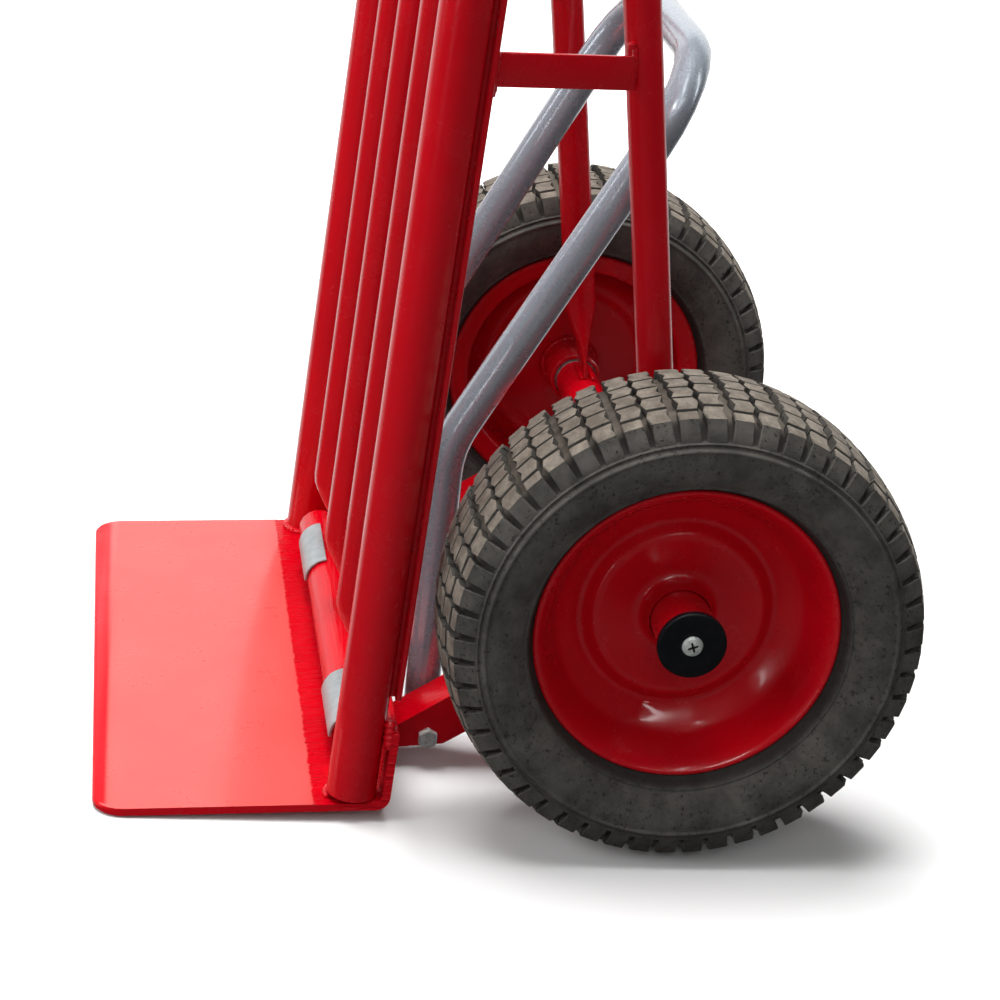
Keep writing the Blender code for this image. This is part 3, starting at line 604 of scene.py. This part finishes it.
def rim_outline():
    """The pressed rim: rolled flanges, drop centre, and a stepped centre disc set well in."""
    half = RIM_HALF
    edge = RIM_RADIUS
    sheet = 0.0022
    seat = edge - 0.0150
    outer_flange = [
        (half - 0.0016, edge - 0.0002), (half - 0.0002, edge - 0.0014),
        (half - 0.0002, edge - 0.0032), (half - 0.0018, edge - 0.0050),
    ]
    barrel = [
        (half - 0.0048, edge - 0.0070), (half - 0.0095, edge - 0.0098), (half - 0.0155, edge - 0.0126),
        (0.0175, edge - 0.0153), (0.0130, 0.0872), (0.0085, 0.0842),
    ]
    disc_groove = [
        (-0.0010, 0.0715), (-0.0032, 0.0690), (-0.0036, 0.0660), (-0.0022, 0.0640), (0.0018, 0.0598),
    ]
    disc_ridge = [(0.0031, 0.0578), (0.0031, 0.0545), (0.0018, 0.0510)]
    disc_cone = [(-0.0040, 0.0320), (-0.0036, 0.0278), (-0.0012, 0.0245)]
    collar = [(0.0040, 0.0228), (0.0100, 0.0218), (0.0110, HUB_RADIUS + 0.0004)]
    disc_back = [
        (-0.0050 - sheet, HUB_RADIUS + 0.0004), (-0.0052 - sheet, 0.0285), (-0.0004 - sheet, 0.0515),
        (0.0009 - sheet, 0.0555), (0.0002 - sheet, 0.0588), (-0.0038 - sheet, 0.0630),
        (-0.0054 - sheet, 0.0660), (-0.0048 - sheet, 0.0705), (0.0040 - sheet, 0.0838),
    ]
    inner_barrel = [
        (0.0020, seat - sheet - 0.0004), (-half + 0.0085, seat - sheet - 0.0002),
        (-half + 0.0052, seat - sheet + 0.0012), (-half + 0.0022, edge - 0.0080),
    ]
    inner_flange = [
        (-half + 0.0002, edge - 0.0042), (-half + 0.0002, edge - 0.0018),
        (-half + 0.0016, edge - 0.0002), (-half + 0.0030, edge - 0.0016),
        (-half + 0.0036, edge - 0.0060), (-half + 0.0068, seat),
    ]
    under_tyre = [
        (0.0080, seat), (0.0232, edge - 0.0102), (half - 0.0090, edge - 0.0074),
        (half - 0.0046, edge - 0.0050), (half - 0.0030, edge - 0.0016),
    ]
    front = outer_flange + barrel + disc_groove + disc_ridge + disc_cone + collar
    return front + disc_back + inner_barrel + inner_flange + under_tyre


def build_wheel(word, side, looks):
    body = word + "_wheel"
    centre = side * WHEEL_X
    build_tyre(word, side, centre, body, looks)
    build_rim(word, side, centre, body, looks)


def build_tyre(word, side, centre, body, looks):
    name = "tyre_body_" + word
    carcass = lathe_mesh(name, softened(carcass_outline(), 1), centre, side, 144)
    tyre = mesh_object(name, carcass, looks["tyre body"], 50)
    settle(tyre, body, "tyre_" + word)
    tread = mesh_object("tyre_tread_" + word, tread_mesh(), looks["tyre"], 28)
    for vertex in tread.data.vertices:
        x, y, z = vertex.co
        vertex.co = (centre + side * x, AXLE_Y + y, AXLE_Z + z)
    if side < 0:
        tread.data.flip_normals()
    settle(tread, body)


def build_rim(word, side, centre, body, looks):
    """The pressed rim, the hub tube through it, and the weld between them."""
    name = "rim_shell_" + word
    shell = lathe_mesh(name, softened(rim_outline(), 2), centre, side, 128)
    settle(mesh_object(name, shell, looks["rim"], 50), body, "rim_" + word)
    half = HUB_HALF
    bore = 0.0177
    lip = 0.0007
    hub = [
        (-half, bore), (-half, HUB_RADIUS - lip), (-half + lip, HUB_RADIUS), (-0.0080, HUB_RADIUS),
        (half - lip, HUB_RADIUS), (half, HUB_RADIUS - lip), (half, bore),
    ]
    name = "hub_sleeve_" + word
    sleeve = mesh_object(name, lathe_mesh(name, hub, centre, side, 72), looks["rim"])
    settle(sleeve, body, "hub_tube_" + word)
    ring = circle(Vector((centre - side * 0.0078, AXLE_Y, AXLE_Z)), HUB_RADIUS + 0.0008, 150)
    weld("hub_weld_" + word, ring, 0.0026, looks["weld"], body, closed=True, seed=3)


def cap_outline():
    """The end cap's (x, radius) outline, with a grooved rim and a shallow seat for the screw."""
    radius = 0.0235
    return [
        (0.0002, 0.0034), (0.0002, radius - 0.0012), (0.0010, radius - 0.0002),
        (0.0020, radius - 0.0006), (0.0026, radius), (0.0042, radius),
        (0.0052, radius - 0.0004), (0.0057, radius - 0.0016), (0.0058, radius - 0.0030),
        (0.0055, 0.0086), (0.0053, 0.0078), (0.0053, 0.0034),
    ]


def build_hub_ends(word, side, looks):
    """The moulded cap and its cross-head screw."""
    low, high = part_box("hub_cap_" + word)
    face = min(abs(low.x), abs(high.x))
    name = "end_cap_" + word
    cap = mesh_object(name, lathe_mesh(name, cap_outline(), side * face, side, 96), looks["plastic"], 60)
    settle(cap, ROOT, "hub_cap_" + word)
    seat = face + 0.0054
    outline = [
        (-0.0040, 0.0028), (0.0, 0.0028), (0.0, 0.0066), (0.0005, 0.0071),
        (0.0013, 0.0068), (0.0024, 0.0050), (0.0029, 0.0026), (0.0030, 0.0006),
    ]
    rows = []
    for x, radius in outline:
        rows.append(circle(Vector((side * (seat + x), AXLE_Y, AXLE_Z)), radius, 40))
    name = "cross_screw_" + word
    screw = mesh_object(name, grid_mesh(name, rows, caps=True), looks["zinc"], 40)
    start = side * (seat + 0.0008)
    end = side * (seat + 0.0045)
    # The cut's faces take the cutter's near-black material: painted shade in the cross recess.
    cut = screw.modifiers.new("cross recess", "BOOLEAN")
    cut.operation = "DIFFERENCE"
    cut.material_mode = "TRANSFER"
    cut.object = cross_cutter("screw_recess_" + word, start, end, looks["recess"])
    settle(screw, ROOT, "cap_screw_" + word)


def circle(centre, radius, sides):
    """Points around a circle that faces along X."""
    turns = [2 * math.pi * i / sides for i in range(sides)]
    return [centre + Vector((0, radius * math.cos(a), radius * math.sin(a))) for a in turns]


def cross_cutter(name, start, end, material):
    """A tapered cross that a screwdriver's tip would fill. Its faces carry a near-black material into the
    cut: painted shade in the recess.
    """
    outline = []
    for quarter in range(4):
        turn = math.pi / 2 * quarter + 0.35
        cos = math.cos(turn)
        sin = math.sin(turn)
        for y, z in ((0.0040, -0.00075), (0.0040, 0.00075), (0.00085, 0.00085)):
            outline.append((y * cos - z * sin, y * sin + z * cos))
    rows = []
    for x, scale in ((start, 0.62), (end, 1.15)):
        rows.append([Vector((x, AXLE_Y + y * scale, AXLE_Z + z * scale)) for y, z in outline])
    mesh = grid_mesh(name, rows, caps=True)
    mesh.materials.append(material)
    cutter = bpy.data.objects.new(name, mesh)
    bpy.context.scene.collection.objects.link(cutter)
    cutter.hide_render = True
    cutter.display_type = "WIRE"
    return cutter


# ---------------------------------------------------------------- welds


def weld(name, path, radius, material, body, closed=False, seed=1, sides=8):
    """A weld bead: a lumpy bar along a path, with the half-moon ripples of a hand weld."""
    rng = random.Random(seed)
    count = len(path)
    rows = []
    phase = rng.uniform(0, 6)
    for i, point in enumerate(path):
        before = path[i - 1] if closed or i else path[i]
        after = path[(i + 1) % count] if closed or i + 1 < count else path[i]
        along = (after - before).normalized()
        if not rows:
            side = along.orthogonal().normalized()
        else:
            side = (side - along * side.dot(along)).normalized()
        up = along.cross(side)
        fade = 1.0
        if not closed:
            fade = min(1.0, 0.35 + 0.75 * math.sin(math.pi * (i + 0.5) / count) ** 0.5)
        ripple = 1 + 0.16 * math.sin(i * 1.9 + phase) + rng.uniform(-0.07, 0.07)
        size = radius * ripple * fade
        row = []
        for k in range(sides):
            a = 2 * math.pi * k / sides
            lump = size * (1 + rng.uniform(-0.05, 0.05))
            row.append(point + side * (lump * math.cos(a)) + up * (lump * math.sin(a)))
        rows.append(row)
    mesh = grid_mesh(name, rows, wrap_rows=closed, caps=not closed)
    piece = mesh_object(name, mesh, material, 80)
    smooth = piece.modifiers.new("smooth", "SUBSURF")
    smooth.levels = 1
    smooth.render_levels = 1
    settle(piece, body)


def line(start, end, step=0.0012):
    """Evenly spaced points from start to end."""
    start = Vector(start)
    end = Vector(end)
    count = max(4, int((end - start).length / step))
    return [start.lerp(end, i / (count - 1)) for i in range(count)]


def arc(centre, across, up, radius, first, last, step=0.0012):
    """Points on an arc from the first to the last angle, in degrees."""
    span = math.radians(last - first)
    count = max(5, int(abs(span) * radius / step))
    points = []
    for i in range(count):
        a = math.radians(first) + span * i / (count - 1)
        points.append(centre + across * (radius * math.cos(a)) + up * (radius * math.sin(a)))
    return points


# ---------------------------------------------------------------- the frame's welds and small parts


def straight_weld(name, start, end, radius, bead, seed):
    weld(name, line(start, end), radius, bead, ROOT, seed=seed)


def build_frame_welds(looks):
    bead = looks["weld"]
    for word, side in SIDES.items():
        build_foot_welds(word, side, bead)
        build_brace_welds(word, side, bead)
        build_strut_welds(word, side, bead)
        build_bracket_welds(word, bead)
    for word in ("left", "centre", "right"):
        build_inner_tube_welds(word, bead)


def build_foot_welds(word, side, bead):
    """An outer tube's foot: a bead around it on the plate, and two against the heel's flange."""
    low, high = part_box("frame_tube_" + word)
    x = (low.x + high.x) / 2
    radius = (high.x - low.x) / 2
    foot = Vector((x, low.y + radius + 0.0012, low.z - 0.0016))
    first, last = (150, 285) if side > 0 else (195, 350)
    ring = arc(foot, X_AXIS, Y_AXIS, radius + 0.0003, first, last)
    weld("foot_weld_" + word, ring, 0.0042, bead, ROOT, seed=11)
    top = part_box("toe_plate")[1].z
    inner = HEEL_Y - 0.0055
    start = (x + side * 0.008, inner - 0.0010, top + 0.0080)
    end = (x + side * 0.011, inner - 0.0006, top - 0.0130)
    straight_weld("flange_weld_" + word, start, end, 0.0050, bead, 12)
    start = (x + side * 0.012, inner - 0.0005, top - 0.0020)
    end = (x - side * 0.012, inner - 0.0005, top - 0.0020)
    straight_weld("flange_bead_" + word, start, end, 0.0046, bead, 13)


def build_inner_tube_welds(word, bead):
    """The beads that hold a load tube to the lower and the upper cross tube."""
    low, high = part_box("inner_tube_" + word)
    middle = (low.x + high.x) / 2
    cross_low, cross_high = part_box("lower_cross_tube")
    middle_y = (cross_low.y + cross_high.y) / 2 + 0.0085
    z = low.z + 0.0004
    for place, y in (("front", middle_y - 0.0046), ("back", middle_y + 0.0046)):
        name = f"inner_foot_weld_{word}_{place}"
        straight_weld(name, (middle - 0.0175, y, z), (middle + 0.0175, y, z), 0.0026, bead, 21)
    cross_low, cross_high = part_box("upper_cross_tube")
    y = (cross_low.y + cross_high.y) / 2 - 0.0040
    z = cross_low.z
    name = "inner_head_weld_" + word
    straight_weld(name, (middle - 0.0165, y, z), (middle + 0.0165, y, z), 0.0024, bead, 22)


def build_brace_welds(word, side, bead):
    low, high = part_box("brace_" + word)
    front_x = high.x if side > 0 else low.x
    back_x = low.x if side > 0 else high.x
    x = front_x - side * 0.0006
    start = (x, low.y + 0.0012, low.z - 0.0006)
    end = (x, low.y + 0.0026, high.z + 0.0006)
    straight_weld("brace_front_weld_" + word, start, end, 0.0026, bead, 31)
    x = back_x + side * 0.0006
    start = (x, high.y - 0.0012, low.z)
    end = (x, high.y - 0.0022, high.z + 0.0005)
    straight_weld("brace_back_weld_" + word, start, end, 0.0026, bead, 32)
    start = (back_x + side * 0.0030, high.y - 0.0075, high.z + 0.0006)
    end = (back_x - side * 0.0030, high.y + 0.0010, high.z + 0.0010)
    straight_weld("brace_top_weld_" + word, start, end, 0.0030, bead, 33)


def build_strut_welds(word, side, bead):
    """A strut's foot on the axle tube, its head on the upper cross tube, and that tube's end."""
    low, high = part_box("strut_" + word)
    x = (low.x + high.x) / 2
    z = low.z - 0.0002
    for place, y in (("front", AXLE_Y - 0.0032), ("back", AXLE_Y + 0.0052)):
        name = f"strut_foot_weld_{word}_{place}"
        straight_weld(name, (x - 0.0175, y, z), (x + 0.0175, y, z), 0.0028, bead, 41)
    cross_low, cross_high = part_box("upper_cross_tube")
    y = cross_high.y - 0.0005
    z = cross_high.z - 0.0050
    straight_weld("strut_head_weld_" + word, (x - 0.0185, y, z), (x + 0.0185, y, z), 0.0026, bead, 42)
    end = cross_high.x if side > 0 else cross_low.x
    middle = Vector((end, (cross_low.y + cross_high.y) / 2, (cross_low.z + cross_high.z) / 2))
    ring = arc(middle, Y_AXIS, Z_AXIS, 0.0163, 0, 356)
    weld("cross_end_weld_" + word, ring, 0.0024, bead, ROOT, closed=True, seed=43)


def build_bracket_welds(word, bead):
    """An axle bracket's beads on the heel's flange and on the axle tube."""
    low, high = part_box("axle_bracket_" + word)
    y = low.y - 0.0002
    for place, x in (("outer", high.x - 0.0004), ("inner", low.x + 0.0004)):
        name = f"bracket_weld_{word}_{place}"
        straight_weld(name, (x, y, low.z + 0.0020), (x, y, low.z + 0.0150), 0.0024, bead, 51)
    z = low.z + 0.0165
    name = "bracket_top_weld_" + word
    straight_weld(name, (low.x + 0.002, y, z), (high.x - 0.002, y, z), 0.0024, bead, 52)
    y = AXLE_Y - 0.0150
    z = AXLE_Z - 0.0105
    name = "bracket_axle_weld_" + word
    straight_weld(name, (low.x + 0.003, y, z), (high.x - 0.003, y, z), 0.0040, bead, 53)


def build_grips(looks):
    """Ribbed rubber grips over the handle ends, which rise a little towards their tips."""
    angle = math.radians(75)
    along = Vector((0, math.sin(angle), math.cos(angle)))
    up = Vector((0, -math.cos(angle), math.sin(angle)))
    radius = 0.0221
    rib_step = 0.0105
    for word in SIDES:
        node = "hand_grip_" + word
        refined(node, looks["grip"], ROOT, bevel=0.0012)
        low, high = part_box(node)
        tip = Vector(((low.x + high.x) / 2, high.y - 0.010, high.z - 0.0218))
        for i in range(9):
            centre = tip - along * (0.012 + rib_step * i)
            ring = arc(centre, X_AXIS, up, radius, 0, 354, 0.003)
            rib = plain_ring(f"grip_rib_{word}_{i}", ring, 0.0011, looks["grip"])
            settle(rib, ROOT)


def plain_ring(name, ring, radius, material, sides=8):
    """A smooth bead around a closed path, 1.7 times as wide as it is high."""
    rows = []
    count = len(ring)
    centre = sum(ring, Vector()) / count
    for i, point in enumerate(ring):
        out = (point - centre).normalized()
        along = (ring[(i + 1) % count] - ring[i - 1]).normalized()
        across = along.cross(out)
        row = []
        for k in range(sides):
            a = 2 * math.pi * k / sides
            row.append(point + out * (radius * math.cos(a)) + across * (1.7 * radius * math.sin(a)))
        rows.append(row)
    return mesh_object(name, grid_mesh(name, rows, wrap_rows=True), material, 70)


# ---------------------------------------------------------------- nodes that keep their CAD shape


# Look, finish, edge rounding and nodes.
DRESSED = [
    ("tube", "red_paint", 0.0004, ["frame_tube_left", "frame_tube_right"]),
    ("tube", "red_paint", 0.0004, ["inner_tube_left", "inner_tube_centre", "inner_tube_right"]),
    ("tube", "red_paint", 0.0004, ["strut_left", "strut_right"]),
    ("tube", "red_paint", 0.0006, ["rear_strip_left", "rear_strip_right", "mid_cross_strap"]),
    ("tube", "red_paint", 0.0005, ["brace_left", "brace_right"]),
    ("bracket", "red_paint", 0.0018, ["axle_bracket_left", "axle_bracket_right"]),
    ("tube", "red_paint", 0.0004, ["axle_tube", "upper_cross_tube"]),
    ("brushed", "red_paint", 0.0, ["lower_cross_tube"]),
    ("plate", "red_paint", 0.0, ["toe_plate"]),
    ("galvanised", "galvanised", 0.0007, ["saddle_strap_left", "saddle_strap_right"]),
    ("zinc", "zinc", 0.0003, ["pivot_bolt_left", "pivot_bolt_right"]),
    ("zinc", "zinc", 0.0003, ["pivot_nut_left", "pivot_nut_right"]),
    ("zinc", "zinc", 0.0002, ["pivot_washer_left", "pivot_washer_right"]),
    ("zinc", "zinc", 0.0002, ["axle_washer_left", "axle_washer_right"]),
    ("steel", "bright_steel", 0.0004, ["axle_shaft"]),
]


def dress_nodes(looks):
    """Rounded copies of the CAD nodes, each with its finish."""
    for look, slot, bevel, nodes in DRESSED:
        for node in nodes:
            refined(node, looks[look], ROOT, bevel)
    refined("support_loop", looks["silver"], LOOP, 0.0006)
    for word in SIDES:
        for place in ("inner", "outer"):
            node = f"bearing_{place}_{word}"
            refined(node, looks["steel"], word + "_wheel", 0.0002)


# ---------------------------------------------------------------- stage

AMBIENT = 0.14


def area_light(name, place, target, size, power, shines="diffuse"):
    """A rectangle of light, which gives either soft light or highlights.

    Its place and its target are measured from the ground under the axle.
    """
    data = bpy.data.lights.new(name, "AREA")
    data.shape = "RECTANGLE"
    data.size = size[0]
    data.size_y = size[1]
    data.energy = power
    light = bpy.data.objects.new(name, data)
    bpy.context.scene.collection.objects.link(light)
    light.location = Vector(place) + Vector((0, AXLE_Y, 0))
    light.rotation_mode = "QUATERNION"
    light.rotation_quaternion = (Vector(target) - Vector(place)).to_track_quat("-Z", "Y")
    light.visible_camera = False
    light.visible_glossy = shines == "highlights"
    light.visible_diffuse = shines == "diffuse"


def build_world():
    """White for the camera, and dim for the light it gives.

    Reflections see it dark, but for a backdrop low at -X.
    """
    world = bpy.data.worlds.new("studio")
    bpy.context.scene.world = world
    world.use_nodes = True
    tree = world.node_tree

    def node(kind, *values, **settings):
        made = tree.nodes.new(kind)
        for key, value in settings.items():
            setattr(made, key, value)
        for socket, value in zip(made.inputs, values):
            if isinstance(value, bpy.types.NodeSocket):
                tree.links.new(value, socket)
            elif value is not None:
                socket.default_value = value
        return made

    split = node("ShaderNodeSeparateXYZ", node("ShaderNodeTexCoord").outputs["Generated"])
    smooth = {"interpolation_type": "SMOOTHSTEP"}
    side = node("ShaderNodeMapRange", split.outputs[0], -0.35, -0.80, 0.0, 1.0, **smooth)
    height = node("ShaderNodeMapRange", split.outputs[2], 0.75, 0.50, 0.0, 1.0, **smooth)
    both = node("ShaderNodeMath", side.outputs[0], height.outputs[0], operation="MULTIPLY")
    seen = node("ShaderNodeMath", both.outputs[0], 0.03, operation="ADD")
    ray = node("ShaderNodeLightPath")
    glossy = node("ShaderNodeMix", ray.outputs["Is Glossy Ray"], None, AMBIENT, seen.outputs[0])
    strength = node("ShaderNodeMix", ray.outputs["Is Camera Ray"], None, glossy.outputs[0], 1.0)
    tree.links.new(strength.outputs[0], tree.nodes["Background"].inputs["Strength"])
    tree.nodes["Background"].inputs["Color"].default_value = rgb(1.0, 1.0, 1.0)


def build_floor():
    """A wide floor just under the tyres, left out of the reflections."""
    rows = [[Vector((x, y, -0.0006)) for y in (-9, 9)] for x in (-9, 9)]
    mesh = grid_mesh("floor", rows, wrap_points=False)
    floor = mesh_object("floor", mesh, floor_material())
    floor.visible_glossy = False


def build_camera():
    """Looks across the left wheel to the toe plate, from above and a little tilted."""
    data = bpy.data.cameras.new("camera")
    data.sensor_width = 36
    data.lens = 103.6
    camera = bpy.data.objects.new("camera", data)
    bpy.context.scene.collection.objects.link(camera)
    camera.location = (2.0011, AXLE_Y - 0.4075, 0.9419)
    aim = Vector((0.0, AXLE_Y - 0.0873, 0.1394))
    roll = Quaternion((0, 0, 1), math.radians(5.34))
    camera.rotation_mode = "QUATERNION"
    camera.rotation_quaternion = (aim - camera.location).to_track_quat("-Z", "Y") @ roll
    bpy.context.scene.camera = camera


def build_stage():
    build_world()
    build_floor()
    middle = (0, -0.05, 0.45)
    area_light("top", (-0.3, -0.4, 3.2), middle, (2.2, 2.2), 190)
    area_light("front", (1.0, -2.9, 1.8), middle, (1.3, 1.8), 42)
    area_light("back", (-1.2, 2.8, 1.6), middle, (1.4, 1.4), 10)
    area_light("side", (3.0, -0.6, 1.9), middle, (1.4, 1.4), 16)
    area_light("front strip", (-0.4, -3.0, 1.5), middle, (0.5, 2.2), 26, "highlights")
    area_light("side strip", (2.2, -1.0, 3.0), middle, (1.6, 0.25), 20, "highlights")
    area_light("rim strip high", (2.4, 0.7, 2.4), middle, (1.7, 0.07), 5, "highlights")
    area_light("rim strip low", (2.4, -2.3, 0.7), middle, (0.07, 1.1), 3, "highlights")
    area_light("ceiling strip", (1.2, 0.3, 3.2), middle, (0.3, 1.8), 8, "highlights")
    area_light("rear strip", (0.2, 3.0, 1.6), middle, (0.4, 2.0), 10, "highlights")
    build_camera()
    bpy.context.scene.view_settings.view_transform = "Standard"


looks = {
    "tube": red_paint("red_tube_paint", streaks=(1, 1, 0.25), chips=0.5),
    "brushed": red_paint("red_brushed_paint", streaks=(0.06, 1, 1), brushed=1.0, gloss=0.4),
    "bracket": red_paint("red_bracket_paint", chips=0.5, gloss=0.5),
    "rim": red_paint("red_rim_paint", streaks=(1, 1, 1), chips=0.3, gloss=1.5),
    "weld": red_paint("red_weld_paint"),
    "plate": plate_paint(),
    "silver": silver_paint(),
    "galvanised": galvanised_sheet(),
    "zinc": plated_steel("zinc_plate", rgb(0.80, 0.84, 0.81), 0.50),
    # Near-black steel with rust specks for the screw's cross recess: painted shade.
    "recess": plated_steel("recess_painted_shade", rgb(0.05, 0.045, 0.04), 0.7),
    "steel": plated_steel("turned_steel", rgb(0.50, 0.50, 0.51), 0.15),
    "tyre": tyre_rubber("tyre_rubber"),
    "tyre body": tyre_rubber("tyre_body_rubber", groove_shade=0.85),
    "plastic": black_plastic(),
    "grip": grip_rubber(),
}
dress_nodes(looks)
for side_word, side_sign in SIDES.items():
    build_wheel(side_word, side_sign, looks)
    build_hub_ends(side_word, side_sign, looks)
build_frame_welds(looks)
build_grips(looks)
build_stage()
